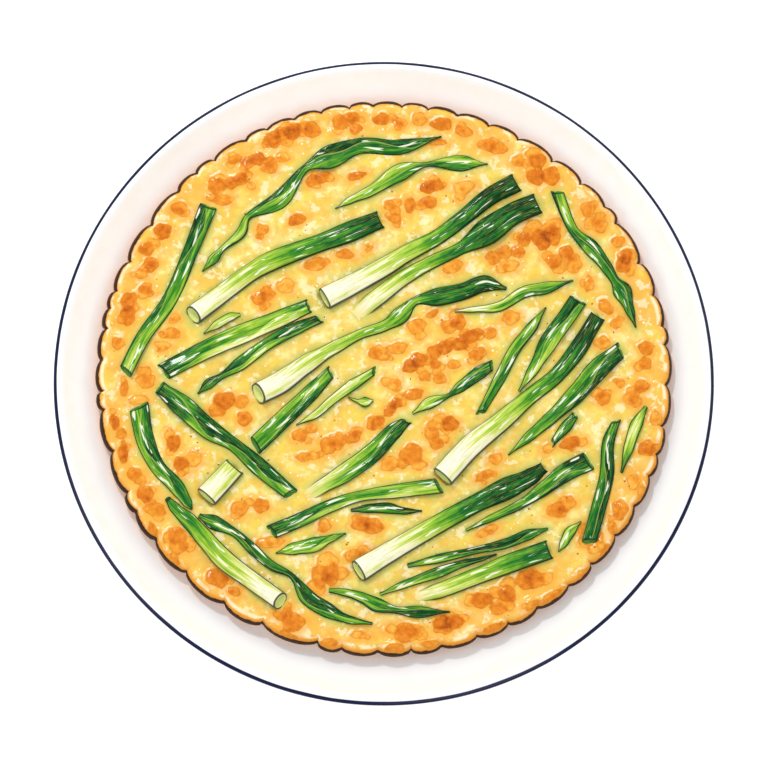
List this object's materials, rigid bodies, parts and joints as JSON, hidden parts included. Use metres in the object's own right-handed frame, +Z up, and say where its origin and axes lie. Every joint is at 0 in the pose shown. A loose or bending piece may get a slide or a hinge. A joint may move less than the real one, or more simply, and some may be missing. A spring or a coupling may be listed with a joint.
{
  "type": "scallion pancake on plate",
  "caption": "Round pan-fried scallion pancake with a scalloped edge and scallion stems and leaves in its top, on a shallow round plate with a foot ring.",
  "frame": {"origin": "middle of the plate's foot, on the surface that the plate stands on", "axes": "+Z up, +Y towards the back of the table, +X to the right"},
  "size_m": [0.264, 0.264, 0.0202],
  "materials": {
    "glaze": "glossy off-white glaze with a thin dark blue line round the edge",
    "crust": "golden fried batter with browned blisters and a thin film of oil",
    "stem": "moist scallion stem, white at the cut end and green further up",
    "leaf": "moist green scallion leaf with fine ribs along it"
  },
  "bodies": {
    "root": {"plate": "glaze", "pancake": "crust", "stem_01": "stem", "stem_02": "stem", "stem_03": "stem", "stem_04": "stem", "stem_05": "stem", "stem_06": "stem", "stem_07": "stem", "stem_08": "stem", "stem_09": "stem", "leaf_01": "leaf", "leaf_02": "leaf", "leaf_03": "leaf", "leaf_04": "leaf", "leaf_05": "leaf", "leaf_06": "leaf", "leaf_07": "leaf", "leaf_08": "leaf", "leaf_09": "leaf", "leaf_10": "leaf", "leaf_11": "leaf", "leaf_12": "leaf", "leaf_13": "leaf", "leaf_14": "leaf", "leaf_15": "leaf", "leaf_16": "leaf", "leaf_17": "leaf", "leaf_18": "leaf", "leaf_19": "leaf", "leaf_20": "leaf", "leaf_21": "leaf", "leaf_22": "leaf", "leaf_23": "leaf", "leaf_24": "leaf", "leaf_25": "leaf", "leaf_26": "leaf", "leaf_27": "leaf", "leaf_28": "leaf", "leaf_29": "leaf", "leaf_30": "leaf"}
  },
  "joints": []
}
